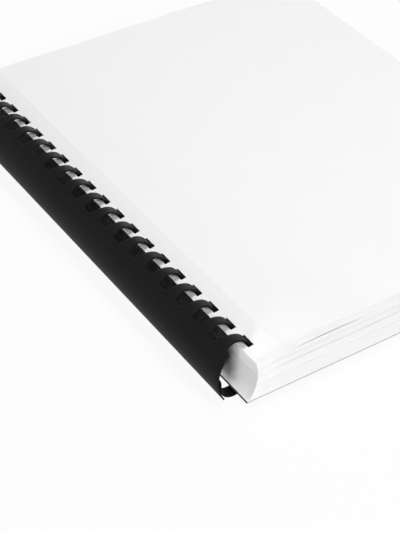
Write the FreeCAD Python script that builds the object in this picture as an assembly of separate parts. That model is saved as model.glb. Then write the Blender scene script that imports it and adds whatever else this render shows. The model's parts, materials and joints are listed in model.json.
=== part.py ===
"""Comb-bound document: a plastic comb, its punched leaves and a card back cover.

Lengths are millimetres. The section is drawn in the XZ plane about the middle of
the comb's oval: X runs from the comb to the fore-edge, Y along the comb from the
tail to the head of the leaves, Z up from the table. The finished pieces are then
moved so that the origin is the middle of the underside.
"""
import FreeCAD, Part
import math
import os

os.makedirs("parts", exist_ok=True)

# Leaves
page_width = 215.9
page_length = 279.4
sheet_thickness = 0.1
bundle_count = 24
cover_thickness = 0.45

# Punching
hole_pitch = 14.2875
hole_length = 7.94
hole_width = 3.175
edge_to_hole = 4.4
tail_to_first_hole = 13.3
least_head_margin = 8.0

# Comb
oval_half_width = 12.05
oval_half_height = 16.85
shoulder_step = 2.05
comb_wall = 0.8
spine_top_angle = 125.0
spine_bottom_angle = 212.2
finger_root_width = 7.94
finger_width = 5.6
finger_neck_run = 5.0
finger_end_width = 6.6
tuck_step = 2.1
tip_length = 5.0
tip_radius = 2.0

# Fit
finger_off_centre = 0.6
comb_slide = 0.6
cover_above_finger = 1.5
room_above_stack = 5.85

# Four-centre oval: end arcs top and bottom, flatter side arcs left and right
end_radius = oval_half_width - shoulder_step
end_centre = oval_half_height - end_radius
side_radius = (oval_half_width**2 + end_centre**2 - end_radius**2) / (2 * (oval_half_width - end_radius))
side_centre = side_radius - oval_half_width
join_angle = math.degrees(math.atan2(end_centre, side_centre))
half_wall = comb_wall / 2

# A finger at every hole that the page length has room for
hole_count = int((page_length - tail_to_first_hole - least_head_margin) / hole_pitch) + 1
comb_length = hole_count * hole_pitch
first_hole_y = tail_to_first_hole - page_length / 2
first_finger_y = first_hole_y - comb_slide
comb_start_y = first_finger_y - hole_pitch / 2


def on_circle(centre_x, centre_z, radius, degrees):
    """Point on a circle in the section plane."""
    turn = math.radians(degrees)
    return FreeCAD.Vector(centre_x + radius * math.cos(turn), 0, centre_z + radius * math.sin(turn))


def arc_strip(centre_x, centre_z, radius, start, end, width):
    """Wall-thick strip between two angles, its outer face at the radius, centred on Y=0."""
    inner = radius - comb_wall
    middle = (start + end) / 2
    outline = Part.Wire([
        Part.Arc(on_circle(centre_x, centre_z, radius, start),
                 on_circle(centre_x, centre_z, radius, middle),
                 on_circle(centre_x, centre_z, radius, end)).toShape(),
        Part.makeLine(on_circle(centre_x, centre_z, radius, end), on_circle(centre_x, centre_z, inner, end)),
        Part.Arc(on_circle(centre_x, centre_z, inner, end),
                 on_circle(centre_x, centre_z, inner, middle),
                 on_circle(centre_x, centre_z, inner, start)).toShape(),
        Part.makeLine(on_circle(centre_x, centre_z, inner, start), on_circle(centre_x, centre_z, radius, start)),
    ])
    strip = Part.Face(outline).extrude(FreeCAD.Vector(0, width, 0))
    strip.translate(FreeCAD.Vector(0, -width / 2, 0))
    return strip


def taper_plan(stations, base):
    """Upright block whose width along Y runs from station to station of (x, width)."""
    near = [FreeCAD.Vector(x, -width / 2, base) for x, width in stations]
    far = [FreeCAD.Vector(x, width / 2, base) for x, width in reversed(stations)]
    outline = Part.makePolygon(near + far + near[:1])
    return Part.Face(outline).extrude(FreeCAD.Vector(0, 0, oval_half_height))


def make_finger():
    """One finger from the spine's upper edge, round through the holes, to its tucked tip."""
    root_x = on_circle(0, end_centre, end_radius, spine_top_angle).x
    shoulder_x = on_circle(0, end_centre, end_radius, join_angle).x
    top = arc_strip(0, end_centre, end_radius, spine_top_angle, join_angle, finger_root_width)
    top = top.common(taper_plan([(root_x, finger_root_width), (root_x + finger_neck_run, finger_width),
                                 (shoulder_x, finger_width)], 0))
    bottom = arc_strip(0, -end_centre, end_radius, -join_angle, -90, finger_end_width)
    bottom = bottom.common(taper_plan([(0, finger_end_width), (shoulder_x, finger_width)],
                                      -oval_half_height))

    tuck_radius = end_radius - tuck_step
    tuck_centre = tuck_radius - oval_half_height
    side = arc_strip(-side_centre, 0, side_radius, join_angle, -join_angle, finger_width)
    tuck = arc_strip(0, tuck_centre, tuck_radius, -90, -180, finger_end_width)
    tip = Part.makeBox(comb_wall, finger_end_width, tip_length,
                       FreeCAD.Vector(-tuck_radius, -finger_end_width / 2, tuck_centre))
    end_z = tuck_centre + tip_length
    corners = [edge for edge in tip.Edges
               if all(abs(v.Z - end_z) < 1e-6 for v in edge.Vertexes)
               and abs(edge.Vertexes[0].Y - edge.Vertexes[1].Y) < 1e-6]
    tip = tip.makeFillet(tip_radius, corners)
    return top.fuse([side, bottom, tuck, tip]).removeSplitter()


def make_comb():
    """Spine strip with a finger at every hole, one moulding."""
    upper = arc_strip(0, end_centre, end_radius, spine_top_angle, 180 - join_angle, comb_length)
    lower = arc_strip(side_centre, 0, side_radius, 180 - join_angle, spine_bottom_angle, comb_length)
    spine = upper.fuse(lower).removeSplitter()
    spine.translate(FreeCAD.Vector(0, comb_start_y + comb_length / 2, 0))
    finger = make_finger()
    fingers = []
    for index in range(hole_count):
        copy = finger.copy()
        copy.translate(FreeCAD.Vector(0, first_finger_y + index * hole_pitch, 0))
        fingers.append(copy)
    return spine.fuse(fingers).removeSplitter()


def finger_x(height):
    """Middle of the finger's wall on the leaf side of the oval, at a height."""
    join_height = (side_radius - half_wall) * math.sin(math.radians(join_angle))
    if abs(height) <= join_height:
        return math.sqrt((side_radius - half_wall)**2 - height**2) - side_centre
    return math.sqrt((end_radius - half_wall)**2 - (abs(height) - end_centre)**2)


def bound_edge_x(height):
    """Bound edge of a sheet whose hole rides the finger at this height."""
    return finger_x(height) - finger_off_centre - edge_to_hole


def slanted_bar(near, far, top, bottom, start_y, length):
    """Bar along Y between two offsets from the bound edge, its sides following the oval."""
    upper_edge = bound_edge_x(top)
    lower_edge = bound_edge_x(bottom)
    outline = Part.makePolygon([
        FreeCAD.Vector(upper_edge + near, start_y, top),
        FreeCAD.Vector(upper_edge + far, start_y, top),
        FreeCAD.Vector(lower_edge + far, start_y, bottom),
        FreeCAD.Vector(lower_edge + near, start_y, bottom),
        FreeCAD.Vector(upper_edge + near, start_y, top),
    ])
    return Part.Face(outline).extrude(FreeCAD.Vector(0, length, 0))


def make_leaves(top, thickness):
    """Punched leaves between two heights, pressed into one flat solid."""
    bottom = top - thickness
    leaves = slanted_bar(0, page_width, top, bottom, -page_length / 2, page_length)
    hole_start = edge_to_hole - hole_width / 2
    holes = []
    for index in range(hole_count):
        start_y = first_hole_y + index * hole_pitch - hole_length / 2
        holes.append(slanted_bar(hole_start, hole_start + hole_width, top, bottom, start_y, hole_length))
    return leaves.cut(holes)


shapes = {"comb": make_comb()}
leaf_nodes = ["first_sheet"]

# The stack fills the comb from just over the fingers' bottom run to the room left above
underside = cover_above_finger + comb_wall - oval_half_height
height = oval_half_height - comb_wall - room_above_stack
bundle_thickness = (height - underside - cover_thickness - sheet_thickness) / bundle_count
shapes["first_sheet"] = make_leaves(height, sheet_thickness)
height -= sheet_thickness
for number in range(1, bundle_count + 1):
    node = "leaves_%02d" % number
    shapes[node] = make_leaves(height, bundle_thickness)
    leaf_nodes.append(node)
    height -= bundle_thickness
shapes["back_cover"] = make_leaves(height, cover_thickness)
leaf_nodes.append("back_cover")

# The leaves turn on the comb until the cover's fore-edge lies on the table
fore_edge = bound_edge_x(underside) + page_width
reach = math.hypot(fore_edge, underside)
lay_angle = math.degrees(math.asin(oval_half_height / reach) - math.atan2(-underside, fore_edge))
for node in leaf_nodes:
    shapes[node].rotate(FreeCAD.Vector(0, 0, 0), FreeCAD.Vector(0, 1, 0), lay_angle)

# Origin in the middle of the underside
fore_edge_end = max(shapes[node].BoundBox.XMax for node in leaf_nodes)
middle_x = (fore_edge_end - oval_half_width) / 2
for node, shape in shapes.items():
    shape.translate(FreeCAD.Vector(-middle_x, 0, oval_half_height))
    shape.exportStep("parts/%s.step" % node)
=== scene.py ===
import json
import math
import random

import bpy
import numpy as np
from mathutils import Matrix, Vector


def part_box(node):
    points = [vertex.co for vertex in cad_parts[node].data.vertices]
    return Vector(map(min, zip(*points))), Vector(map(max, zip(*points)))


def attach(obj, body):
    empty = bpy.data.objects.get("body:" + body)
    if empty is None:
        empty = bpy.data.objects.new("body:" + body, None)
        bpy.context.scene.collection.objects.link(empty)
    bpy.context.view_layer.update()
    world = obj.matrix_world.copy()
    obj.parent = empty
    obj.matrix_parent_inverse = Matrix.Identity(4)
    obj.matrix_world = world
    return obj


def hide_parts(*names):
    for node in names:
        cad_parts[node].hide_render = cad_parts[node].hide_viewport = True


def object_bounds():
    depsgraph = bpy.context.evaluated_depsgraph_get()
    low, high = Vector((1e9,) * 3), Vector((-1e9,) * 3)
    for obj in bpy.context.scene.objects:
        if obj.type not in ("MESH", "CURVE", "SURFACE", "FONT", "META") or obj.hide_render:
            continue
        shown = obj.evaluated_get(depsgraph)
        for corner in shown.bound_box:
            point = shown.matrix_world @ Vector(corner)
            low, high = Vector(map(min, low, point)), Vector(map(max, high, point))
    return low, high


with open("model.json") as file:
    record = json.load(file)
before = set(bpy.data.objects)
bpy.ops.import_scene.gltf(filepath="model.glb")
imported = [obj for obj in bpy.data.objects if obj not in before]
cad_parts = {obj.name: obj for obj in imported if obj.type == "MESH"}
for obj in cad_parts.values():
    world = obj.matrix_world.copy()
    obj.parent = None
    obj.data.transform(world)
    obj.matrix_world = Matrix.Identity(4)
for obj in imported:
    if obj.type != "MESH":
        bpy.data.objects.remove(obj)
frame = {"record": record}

cad_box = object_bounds()

# Camera
# A long lens looks down along the comb from the tail end, over the spine. The place
# and the lens come from the comb's finger pitch as the photograph shows it.
camera_place = Vector((-0.4045, -0.5583, 0.5121))
camera_aim = Vector((-0.0876, -0.0741, 0.0318))
bpy.ops.object.camera_add(location=camera_place)
camera = bpy.context.object
camera.rotation_euler = (camera_aim - camera_place).to_track_quat("-Z", "Y").to_euler()
camera.data.lens = 105.0
camera.data.sensor_width = 36.0
camera.data.clip_end = 20.0
bpy.context.scene.camera = camera

# Plastic comb
# A strip of black plastic is cut with a row of fingers, then heated and rolled so that
# the fingers curl round through the punched holes and tuck their tips inside the spine.
mm = 0.001
comb_low, comb_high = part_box("comb")
finger_pitch = 14.2875 * mm
finger_count = round((comb_high[1] - comb_low[1]) / finger_pitch)
first_finger_y = comb_low[1] + finger_pitch / 2
comb_wall = 0.8 * mm
oval_half_width = 12.05 * mm
oval_half_height = (comb_high[2] - comb_low[2]) / 2
shoulder_step = 2.05 * mm
end_radius = oval_half_width - shoulder_step
end_centre = oval_half_height - end_radius
side_radius = (oval_half_width**2 + end_centre**2 - end_radius**2) / (2 * shoulder_step)
side_centre = side_radius - oval_half_width
join_angle = math.degrees(math.atan2(end_centre, side_centre))
spine_join_angle = 180 - join_angle
spine_top_angle = 125.0
spine_bottom_angle = 212.2
finger_root = 7.94 * mm
finger_neck = 5.6 * mm
neck_run = 5.0 * mm
finger_end = 6.6 * mm
tuck_step = 2.1 * mm
tuck_radius = end_radius - tuck_step
tuck_centre = tuck_radius - oval_half_height
tip_length = 5.0 * mm
tip_round = 2.0 * mm
tip_rounding = 0.95
comb_axis = Vector((comb_low[0] + oval_half_width, 0, comb_low[2] + oval_half_height))

spine_side_rows = 10
spine_top_rows = 8
top_rows = 20
side_rows = 10
bottom_rows = 12
tuck_rows = 14
tip_steps = (0.3, 0.6, 0.72, 0.84, 0.92, 0.97, 1.0)
column_count = 6


def arc_points(centre_x, centre_z, radius, start, end, steps):
    """Points along one arc of the comb's section, without the first."""
    points = []
    for step in range(1, steps + 1):
        turn = math.radians(start + (end - start) * step / steps)
        points.append((centre_x + radius * math.cos(turn), centre_z + radius * math.sin(turn)))
    return points


spine_path = arc_points(side_centre, 0, side_radius, spine_bottom_angle, spine_bottom_angle, 1)
spine_path += arc_points(side_centre, 0, side_radius, spine_bottom_angle, spine_join_angle, spine_side_rows)
spine_path += arc_points(0, end_centre, end_radius, spine_join_angle, spine_top_angle, spine_top_rows)
finger_path = arc_points(0, end_centre, end_radius, spine_top_angle, join_angle, top_rows)
finger_path += arc_points(-side_centre, 0, side_radius, join_angle, -join_angle, side_rows)
finger_path += arc_points(0, -end_centre, end_radius, -join_angle, -90, bottom_rows)
finger_path += arc_points(0, tuck_centre, tuck_radius, -90, -180, tuck_rows)
finger_path += [(-tuck_radius, tuck_centre + share * tip_length) for share in tip_steps]
section = spine_path + finger_path
section_rows = len(section) - 1
spine_rows = len(spine_path) - 1


def finger_half_width(row):
    """Half the strip's width at a row of the section: a neck past the root, a broad end, a round tip."""
    if row <= spine_rows:
        return finger_root / 2
    x, z = section[row]
    if row <= spine_rows + top_rows:
        share = min((x - section[spine_rows][0]) / neck_run, 1)
        return (finger_root + (finger_neck - finger_root) * share) / 2
    if row <= spine_rows + top_rows + side_rows:
        return finger_neck / 2
    shoulder_x = end_radius * math.cos(math.radians(join_angle))
    share = 1 - min(max(x / shoulder_x, 0), 1)
    half = (finger_neck + (finger_end - finger_neck) * share) / 2
    from_tip = tuck_centre + tip_length - z
    in_tip = row >= len(section) - len(tip_steps)
    if in_tip and from_tip < tip_round:
        inset = tip_round - math.sqrt(max(tip_round**2 - (tip_round - from_tip)**2, 0))
        return half - inset * tip_rounding
    return half


def cut_cells(grid, rows, columns, is_cut):
    """Deletes the cells of a flat unit grid that is_cut picks by row and column."""
    bpy.ops.object.mode_set(mode="EDIT")
    bpy.ops.mesh.select_all(action="DESELECT")
    bpy.ops.object.mode_set(mode="OBJECT")
    for face in grid.data.polygons:
        row = int((face.center.x + 0.5) * rows)
        column = int((face.center.y + 0.5) * columns)
        face.select = is_cut(row, column)
    bpy.ops.object.mode_set(mode="EDIT")
    bpy.ops.mesh.delete(type="FACE")
    bpy.ops.object.mode_set(mode="OBJECT")


def grid_place(vertex, rows, columns):
    """Row and column of a vertex in a flat unit grid."""
    return round((vertex.co.x + 0.5) * rows), round((vertex.co.y + 0.5) * columns)


def beside_finger(row, column):
    """True for the cells to both sides of a finger, which the real strip has cut away."""
    return row >= spine_rows and column in (0, column_count - 1)


bpy.ops.object.select_all(action="DESELECT")
bpy.ops.mesh.primitive_grid_add(x_subdivisions=section_rows, y_subdivisions=column_count, size=1)
comb = bpy.context.object
comb.name = "moulded_comb"
comb.data.name = "moulded_comb"
bpy.context.tool_settings.mesh_select_mode = (False, False, True)
cut_cells(comb, section_rows, column_count, beside_finger)
for vertex in comb.data.vertices:
    row, column = grid_place(vertex, section_rows, column_count)
    across = (column - column_count / 2) / (column_count / 2 - 1) * finger_half_width(row)
    if column == 0:
        across = -finger_pitch / 2
    if column == column_count:
        across = finger_pitch / 2
    x, z = section[row]
    vertex.co = (comb_axis.x + x, first_finger_y + across, comb_axis.z + z)
repeat = comb.modifiers.new("fingers", "ARRAY")
repeat.count = finger_count
repeat.use_relative_offset = False
repeat.use_constant_offset = True
repeat.constant_offset_displace = (0, finger_pitch, 0)
repeat.use_merge_vertices = True
repeat.merge_threshold = 0.01 * mm
wall = comb.modifiers.new("wall", "SOLIDIFY")
wall.thickness = comb_wall
wall.offset = -1
edge_break = comb.modifiers.new("edge_break", "BEVEL")
edge_break.width = 0.14 * mm
edge_break.segments = 2
edge_break.limit_method = "ANGLE"
edge_break.angle_limit = math.radians(50)
for name in ("fingers", "wall", "edge_break"):
    bpy.ops.object.modifier_apply(modifier=name)
bpy.ops.object.shade_smooth_by_angle(angle=math.radians(40))

# A Mix node keeps sockets for every kind of data, so its colours and values go by number
colour_a, colour_b, colour_out = 6, 7, 2
value_a, value_b, value_out = 2, 3, 0

# The mottle group gives each finish its fine uneven tone and surface
mottle = bpy.data.node_groups.new("fine_mottle", "ShaderNodeTree")
mottle.interface.new_socket("Scale", in_out="INPUT", socket_type="NodeSocketFloat")
mottle.interface.new_socket("Low", in_out="INPUT", socket_type="NodeSocketColor")
mottle.interface.new_socket("High", in_out="INPUT", socket_type="NodeSocketColor")
mottle.interface.new_socket("Color", in_out="OUTPUT", socket_type="NodeSocketColor")
mottle.interface.new_socket("Mask", in_out="OUTPUT", socket_type="NodeSocketFloat")
mottle_in = mottle.nodes.new("NodeGroupInput")
mottle_out = mottle.nodes.new("NodeGroupOutput")
mottle_place = mottle.nodes.new("ShaderNodeTexCoord")
mottle_noise = mottle.nodes.new("ShaderNodeTexNoise")
mottle_noise.inputs["Detail"].default_value = 5.0
mottle_mix = mottle.nodes.new("ShaderNodeMix")
mottle_mix.data_type = "RGBA"
mottle.links.new(mottle_place.outputs["Object"], mottle_noise.inputs["Vector"])
mottle.links.new(mottle_in.outputs["Scale"], mottle_noise.inputs["Scale"])
mottle.links.new(mottle_noise.outputs["Fac"], mottle_mix.inputs["Factor"])
mottle.links.new(mottle_in.outputs["Low"], mottle_mix.inputs[colour_a])
mottle.links.new(mottle_in.outputs["High"], mottle_mix.inputs[colour_b])
mottle.links.new(mottle_mix.outputs[colour_out], mottle_out.inputs["Color"])
mottle.links.new(mottle_noise.outputs["Fac"], mottle_out.inputs["Mask"])

comb_plastic = bpy.data.materials.new("comb_plastic")
comb_plastic.use_nodes = True
nodes = comb_plastic.node_tree.nodes
links = comb_plastic.node_tree.links
shader = nodes["Principled BSDF"]
shader.inputs["Specular IOR Level"].default_value = 0.04
tone = nodes.new("ShaderNodeGroup")
tone.node_tree = mottle
tone.inputs["Scale"].default_value = 60.0
tone.inputs["Low"].default_value = (0.0065, 0.0065, 0.0067, 1)
tone.inputs["High"].default_value = (0.0095, 0.0095, 0.0097, 1)
links.new(tone.outputs["Color"], shader.inputs["Base Color"])
place = nodes.new("ShaderNodeTexCoord")
drawn = nodes.new("ShaderNodeMapping")
drawn.inputs["Scale"].default_value = (900, 40, 900)
grain = nodes.new("ShaderNodeTexNoise")
grain.inputs["Scale"].default_value = 1.0
grain.inputs["Detail"].default_value = 3.0
links.new(place.outputs["Object"], drawn.inputs["Vector"])
links.new(drawn.outputs["Vector"], grain.inputs["Vector"])
gloss = nodes.new("ShaderNodeMapRange")
gloss.inputs["To Min"].default_value = 0.46
gloss.inputs["To Max"].default_value = 0.60
links.new(grain.outputs["Fac"], gloss.inputs["Value"])
links.new(gloss.outputs["Result"], shader.inputs["Roughness"])
relief = nodes.new("ShaderNodeBump")
relief.inputs["Strength"].default_value = 0.12
relief.inputs["Distance"].default_value = 0.1 * mm
links.new(grain.outputs["Fac"], relief.inputs["Height"])
links.new(relief.outputs["Normal"], shader.inputs["Normal"])
comb.data.materials.append(comb_plastic)
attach(comb, "binding")
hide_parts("comb")

# Leaves
# Plain white office paper, punched along one edge with a row of oblong holes. The sheets
# hang on the comb's fingers, so their bound edges follow the comb's oval.
page_width = 215.9 * mm
page_length = cad_box[1][1] - cad_box[0][1]
sheet_thickness = 0.1 * mm
loose_thickness = sheet_thickness * 0.96
sheets_per_bundle = 10
bundle_count = 24
cover_thickness = 0.45 * mm
hole_length = 7.94 * mm
hole_width = 3.175 * mm
edge_to_hole = 4.4 * mm
finger_off_centre = 0.6 * mm
comb_slide = 0.6 * mm
cover_above_finger = 1.5 * mm
room_above_stack = 5.85 * mm
underside = cover_above_finger + comb_wall - oval_half_height
stack_top = oval_half_height - comb_wall - room_above_stack
bundle_thickness = (stack_top - underside - cover_thickness - sheet_thickness) / bundle_count
loose_cut = 0.12 * mm
random.seed(19)


def finger_x(height):
    """Middle of a finger's wall on the leaf side of the oval, from the comb's axis."""
    half_wall = comb_wall / 2
    join_height = (side_radius - half_wall) * math.sin(math.radians(join_angle))
    if abs(height) <= join_height:
        return math.sqrt((side_radius - half_wall)**2 - height**2) - side_centre
    return math.sqrt((end_radius - half_wall)**2 - (abs(height) - end_centre)**2)


def bound_edge_x(height):
    """Bound edge of the sheet at a height, from the comb's axis."""
    return finger_x(height) - finger_off_centre - edge_to_hole


fore_edge = bound_edge_x(underside) + page_width
reach = math.hypot(fore_edge, underside)
lay_angle = math.asin(oval_half_height / reach) - math.atan2(-underside, fore_edge)

# One flat punched sheet is the blank for all: rows from the bound edge out, columns along it
hole_start = edge_to_hole - hole_width / 2
hole_end = hole_start + hole_width
page_rows = 22
row_crowding = 1.35
row_places = [0, hole_start, hole_end]
for step in range(1, page_rows + 1):
    share = (step / page_rows)**row_crowding
    row_places.append(hole_end + (page_width - loose_cut - hole_end) * share)
column_places = [-page_length / 2]
for index in range(finger_count):
    middle = first_finger_y + comb_slide + index * finger_pitch
    column_places += [middle - hole_length / 2, middle + hole_length / 2]
column_places.append(page_length / 2)
blank_rows = len(row_places) - 1
blank_columns = len(column_places) - 1


def punched_out(row, column):
    """True for the cells of the blank that are holes."""
    return row == 1 and column % 2 == 1


bpy.ops.object.select_all(action="DESELECT")
bpy.ops.mesh.primitive_grid_add(x_subdivisions=blank_rows, y_subdivisions=blank_columns, size=1)
blank = bpy.context.object
blank.name = "sheet_blank"
cut_cells(blank, blank_rows, blank_columns, punched_out)
for vertex in blank.data.vertices:
    row, column = grid_place(vertex, blank_rows, blank_columns)
    vertex.co = (row_places[row], column_places[column], 0)
thick = blank.modifiers.new("thick", "SOLIDIFY")
thick.thickness = sheet_thickness
thick.offset = -1
bpy.ops.object.modifier_apply(modifier="thick")
sheet_rim = blank.data.attributes.new("sheet_rim", "FLOAT", "FACE")
for face in blank.data.polygons:
    lies_flat = abs(face.normal.z) > 0.5
    sheet_rim.data[face.index].value = float(not lies_flat)
blank_points = np.empty(len(blank.data.vertices) * 3)
blank.data.vertices.foreach_get("co", blank_points)
blank_points = blank_points.reshape(-1, 3)

# How the stack loosens: distances are out from a sheet's bound edge, depths down from the top
fluff = 2.4 * mm
fluff_growth = 1.3
fluff_start = -9 * mm
fluff_full = 15 * mm
loose_start = 12 * mm
loose_full = 40 * mm
ripple = 0.15 * mm
ripple_run = 8 * mm
ripple_drift = 9
partings = [(1.4 * mm, 0.07 * mm), (3.1 * mm, 0.09 * mm), (7.6 * mm, 0.09 * mm),
            (11.0 * mm, 0.25 * mm), (14.2 * mm, 0.07 * mm), (18.5 * mm, 0.09 * mm)]
parting_start = 4 * mm
parting_full = 16 * mm
lens_depth = 5.0 * mm
lens_lift = 1.0 * mm
lens_middle = 41 * mm
lens_reach = 25 * mm
lens_ease = 1.5
lens_run = 60 * mm
top_lean = -0.45 * mm
top_slide = -0.9 * mm
lean_depth = 1.1 * mm
tone_bias = 0.25


def smooth(value, low, high):
    """Eased step from 0 at low to 1 at high."""
    share = np.clip((value - low) / (high - low), 0, 1)
    return share * share * (3 - 2 * share)


def lay_sheet(name, top, thickness, shift, overhang=0):
    """One sheet hung on the comb with its top face at a height, slightly loose in the stack."""
    sheet = blank.copy()
    sheet.data = blank.data.copy()
    sheet.name = name
    bpy.context.collection.objects.link(sheet)
    level = (top - underside) / (stack_top - underside)
    depth = stack_top - top
    out = np.where(blank_points[:, 0] < hole_start / 2, -overhang, blank_points[:, 0])
    trimmed = page_length / 2 - loose_cut
    astray = smooth(depth, lean_depth, 0)
    punched = np.abs(blank_points[:, 1]) < trimmed
    along = np.clip(blank_points[:, 1] + top_slide * astray * punched, -trimmed, trimmed) + shift[1]
    loosened = smooth(out, loose_start, loose_full)
    rise = fluff * level**fluff_growth * smooth(out, fluff_start, fluff_full)
    rise = rise + ripple * level * np.sin(out / ripple_run + ripple_drift * level) * loosened
    for parting_depth, lift in partings:
        if depth < parting_depth:
            rise = rise + lift * smooth(out, parting_start, parting_full)
    if depth < lens_depth:
        bump = np.clip(1 - ((out - lens_middle) / lens_reach)**2, 0, 1)**lens_ease
        from_tail = smooth(along, lens_run - page_length / 2, -page_length / 2)
        rise = rise + lens_lift * bump * from_tail
    x = bound_edge_x(top) + top_lean * astray + out + shift[0] * loosened
    z = top + rise + blank_points[:, 2] * thickness / sheet_thickness
    placed = np.empty_like(blank_points)
    placed[:, 0] = comb_axis.x + x * math.cos(lay_angle) + z * math.sin(lay_angle)
    placed[:, 1] = along
    placed[:, 2] = comb_axis.z - x * math.sin(lay_angle) + z * math.cos(lay_angle)
    sheet.data.vertices.foreach_set("co", placed.ravel())
    sheet_tone = sheet.data.attributes.new("sheet_tone", "FLOAT", "POINT")
    sheet_tone.data.foreach_set("value", np.full(len(placed), random.random()**tone_bias))
    sheet.data.update()
    return sheet


def loose():
    """A sheet's small random place in the stack."""
    return (random.uniform(-loose_cut, 0), random.uniform(-loose_cut, 0))


leaf_paper = bpy.data.materials.new("leaf_paper")
leaf_paper.use_nodes = True
nodes = leaf_paper.node_tree.nodes
links = leaf_paper.node_tree.links
shader = nodes["Principled BSDF"]
shader.inputs["Specular IOR Level"].default_value = 0.2
shader.inputs["Roughness"].default_value = 0.85
fibre = nodes.new("ShaderNodeGroup")
fibre.node_tree = mottle
fibre.inputs["Scale"].default_value = 900.0
fibre.inputs["Low"].default_value = (0.885, 0.888, 0.895, 1)
fibre.inputs["High"].default_value = (0.93, 0.93, 0.93, 1)
own_tone = nodes.new("ShaderNodeAttribute")
own_tone.attribute_name = "sheet_tone"
shade = nodes.new("ShaderNodeMapRange")
shade.inputs["To Min"].default_value = 0.78
shade.inputs["To Max"].default_value = 1.0
links.new(own_tone.outputs["Fac"], shade.inputs["Value"])
rim = nodes.new("ShaderNodeAttribute")
rim.attribute_name = "sheet_rim"
edge_shade = nodes.new("ShaderNodeMix")
edge_shade.data_type = "FLOAT"
edge_shade.inputs[value_a].default_value = 1.0
links.new(rim.outputs["Fac"], edge_shade.inputs["Factor"])
links.new(shade.outputs["Result"], edge_shade.inputs[value_b])
paper_tone = nodes.new("ShaderNodeMix")
paper_tone.data_type = "RGBA"
paper_tone.blend_type = "MULTIPLY"
paper_tone.inputs["Factor"].default_value = 1.0
links.new(fibre.outputs["Color"], paper_tone.inputs[colour_a])
links.new(edge_shade.outputs[value_out], paper_tone.inputs[colour_b])
links.new(paper_tone.outputs[colour_out], shader.inputs["Base Color"])
tooth = nodes.new("ShaderNodeBump")
tooth.inputs["Strength"].default_value = 0.08
tooth.inputs["Distance"].default_value = 0.05 * mm
links.new(fibre.outputs["Mask"], tooth.inputs["Height"])
links.new(tooth.outputs["Normal"], shader.inputs["Normal"])

body_of_node = {}
for body, held_nodes in frame["record"]["behaviour"]["bodies"].items():
    for node in held_nodes:
        body_of_node[node] = body
first_sheet = lay_sheet("first_sheet_leaf", stack_top, sheet_thickness, shift=(0, 0))
first_sheet.data.materials.append(leaf_paper)
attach(first_sheet, body_of_node["first_sheet"])
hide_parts("first_sheet")
sheet_step = bundle_thickness / sheets_per_bundle
for number in range(1, bundle_count + 1):
    node = "leaves_%02d" % number
    bundle_top = stack_top - sheet_thickness - (number - 1) * bundle_thickness
    sheets = []
    for step in range(sheets_per_bundle):
        sheets.append(lay_sheet(node + "_sheets", bundle_top - step * sheet_step, loose_thickness, loose()))
    bpy.ops.object.select_all(action="DESELECT")
    for sheet in sheets:
        sheet.select_set(True)
    bpy.context.view_layer.objects.active = sheets[0]
    bpy.ops.object.join()
    bundle = bpy.context.object
    bundle.data.materials.append(leaf_paper)
    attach(bundle, body_of_node[node])
    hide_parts(node)

# Back cover
# One sheet of dark card under the last leaf, punched with the same holes and held by
# the same fingers. Its bound edge stands a little past the leaves, and its fore-edge
# lies on the table.
cover_overhang = 0.5 * mm
cover_top = underside + cover_thickness
cover = lay_sheet("back_cover_card", cover_top, cover_thickness, shift=(0, 0), overhang=cover_overhang)
bpy.data.objects.remove(blank)
cover_card = bpy.data.materials.new("cover_card")
cover_card.use_nodes = True
nodes = cover_card.node_tree.nodes
links = cover_card.node_tree.links
shader = nodes["Principled BSDF"]
shader.inputs["Specular IOR Level"].default_value = 0.3
shader.inputs["Roughness"].default_value = 0.7
card_tone = nodes.new("ShaderNodeGroup")
card_tone.node_tree = mottle
card_tone.inputs["Scale"].default_value = 700.0
card_tone.inputs["Low"].default_value = (0.018, 0.018, 0.019, 1)
card_tone.inputs["High"].default_value = (0.032, 0.032, 0.034, 1)
rim = nodes.new("ShaderNodeAttribute")
rim.attribute_name = "sheet_rim"
core = nodes.new("ShaderNodeMix")
core.data_type = "RGBA"
core.inputs[colour_b].default_value = (0.03, 0.03, 0.032, 1)
links.new(rim.outputs["Fac"], core.inputs["Factor"])
links.new(card_tone.outputs["Color"], core.inputs[colour_a])
links.new(core.outputs[colour_out], shader.inputs["Base Color"])
place = nodes.new("ShaderNodeTexCoord")
emboss = nodes.new("ShaderNodeTexVoronoi")
emboss.inputs["Scale"].default_value = 1100.0
links.new(place.outputs["Object"], emboss.inputs["Vector"])
pebble = nodes.new("ShaderNodeBump")
pebble.inputs["Strength"].default_value = 0.35
pebble.inputs["Distance"].default_value = 0.08 * mm
links.new(emboss.outputs["Distance"], pebble.inputs["Height"])
links.new(pebble.outputs["Normal"], shader.inputs["Normal"])
cover.data.materials.append(cover_card)
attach(cover, body_of_node["back_cover"])
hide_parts("back_cover")

# Floor and studio light
# A pale floor under the document, a white background and four soft lamps. The floor gives
# back little light to the document, so that the inside of the comb stays dark.
seen_white = 0.92
floor_seen = (0.85, 0.85, 0.85, 1)
floor_bounced = (0.15, 0.15, 0.15, 1)


def background_rays(nodes, links):
    """1 for a ray that shows the background: from the camera, mirrored or through something clear."""
    path = nodes.new("ShaderNodeLightPath")
    mirrored = nodes.new("ShaderNodeMath")
    mirrored.operation = "MAXIMUM"
    links.new(path.outputs["Is Camera Ray"], mirrored.inputs[0])
    links.new(path.outputs["Is Glossy Ray"], mirrored.inputs[1])
    through = nodes.new("ShaderNodeMath")
    through.operation = "MAXIMUM"
    links.new(mirrored.outputs["Value"], through.inputs[0])
    links.new(path.outputs["Is Transmission Ray"], through.inputs[1])
    return through.outputs["Value"]


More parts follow.
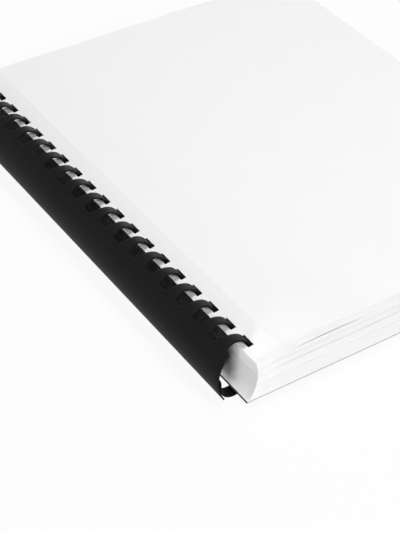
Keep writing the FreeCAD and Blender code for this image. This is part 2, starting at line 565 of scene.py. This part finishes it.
bpy.ops.object.select_all(action="DESELECT")
bpy.ops.mesh.primitive_plane_add(size=12)
floor = bpy.context.object
floor.name = "studio_floor"
floor_paint = bpy.data.materials.new("studio_floor")
floor_paint.use_nodes = True
nodes = floor_paint.node_tree.nodes
links = floor_paint.node_tree.links
matt = nodes["Principled BSDF"]
matt.inputs["Roughness"].default_value = 0.9
matt.inputs["Specular IOR Level"].default_value = 0.0
ray = nodes.new("ShaderNodeLightPath")
bounce = nodes.new("ShaderNodeMix")
bounce.data_type = "RGBA"
bounce.inputs[colour_a].default_value = floor_seen
bounce.inputs[colour_b].default_value = floor_bounced
links.new(ray.outputs["Is Diffuse Ray"], bounce.inputs["Factor"])
links.new(bounce.outputs[colour_out], matt.inputs["Base Color"])
white = nodes.new("ShaderNodeEmission")
white.inputs["Strength"].default_value = 1.0
amount = nodes.new("ShaderNodeMath")
amount.operation = "MULTIPLY"
amount.inputs[1].default_value = seen_white
links.new(background_rays(nodes, links), amount.inputs[0])
sweep = nodes.new("ShaderNodeMixShader")
links.new(amount.outputs["Value"], sweep.inputs["Fac"])
links.new(matt.outputs["BSDF"], sweep.inputs[1])
links.new(white.outputs["Emission"], sweep.inputs[2])
links.new(sweep.outputs["Shader"], nodes["Material Output"].inputs["Surface"])
floor.data.materials.append(floor_paint)

world = bpy.data.worlds.new("studio")
bpy.context.scene.world = world
world.use_nodes = True
nodes = world.node_tree.nodes
links = world.node_tree.links
fill = nodes["Background"]
fill.inputs["Color"].default_value = (1, 1, 1, 1)
fill.inputs["Strength"].default_value = 0.03
backdrop = nodes.new("ShaderNodeBackground")
backdrop.inputs["Color"].default_value = (1, 1, 1, 1)
backdrop.inputs["Strength"].default_value = 1.0
either = nodes.new("ShaderNodeMixShader")
links.new(background_rays(nodes, links), either.inputs["Fac"])
links.new(fill.outputs["Background"], either.inputs[1])
links.new(backdrop.outputs["Background"], either.inputs[2])
links.new(either.outputs["Shader"], nodes["World Output"].inputs["Surface"])


def soft_box(name, place, aim, width, height, power):
    """A studio light of a width and height, turned to the document."""
    bpy.ops.object.light_add(type="AREA", location=place)
    lamp = bpy.context.object
    lamp.name = name
    lamp.data.shape = "RECTANGLE"
    lamp.data.size = width
    lamp.data.size_y = height
    lamp.data.energy = power
    lamp.rotation_euler = (Vector(aim) - Vector(place)).to_track_quat("-Z", "Y").to_euler()


soft_box("key_light", place=(0.12, -1.48, 1.02), aim=(-0.05, -0.05, 0), width=0.5, height=0.7, power=19.0)
soft_box("top_light", place=(0.1, 0.1, 1.5), aim=(-0.05, 0.0, 0), width=0.3, height=0.8, power=13.1)
soft_box("side_light", place=(-2.0, -1.5, 0.12), aim=(-0.05, -0.1, 0), width=0.9, height=0.2, power=48)
soft_box("back_light", place=(1.6, 1.8, 0.5), aim=(0, 0.05, 0), width=0.8, height=0.8, power=16)

bpy.context.scene.view_settings.view_transform = "Standard"
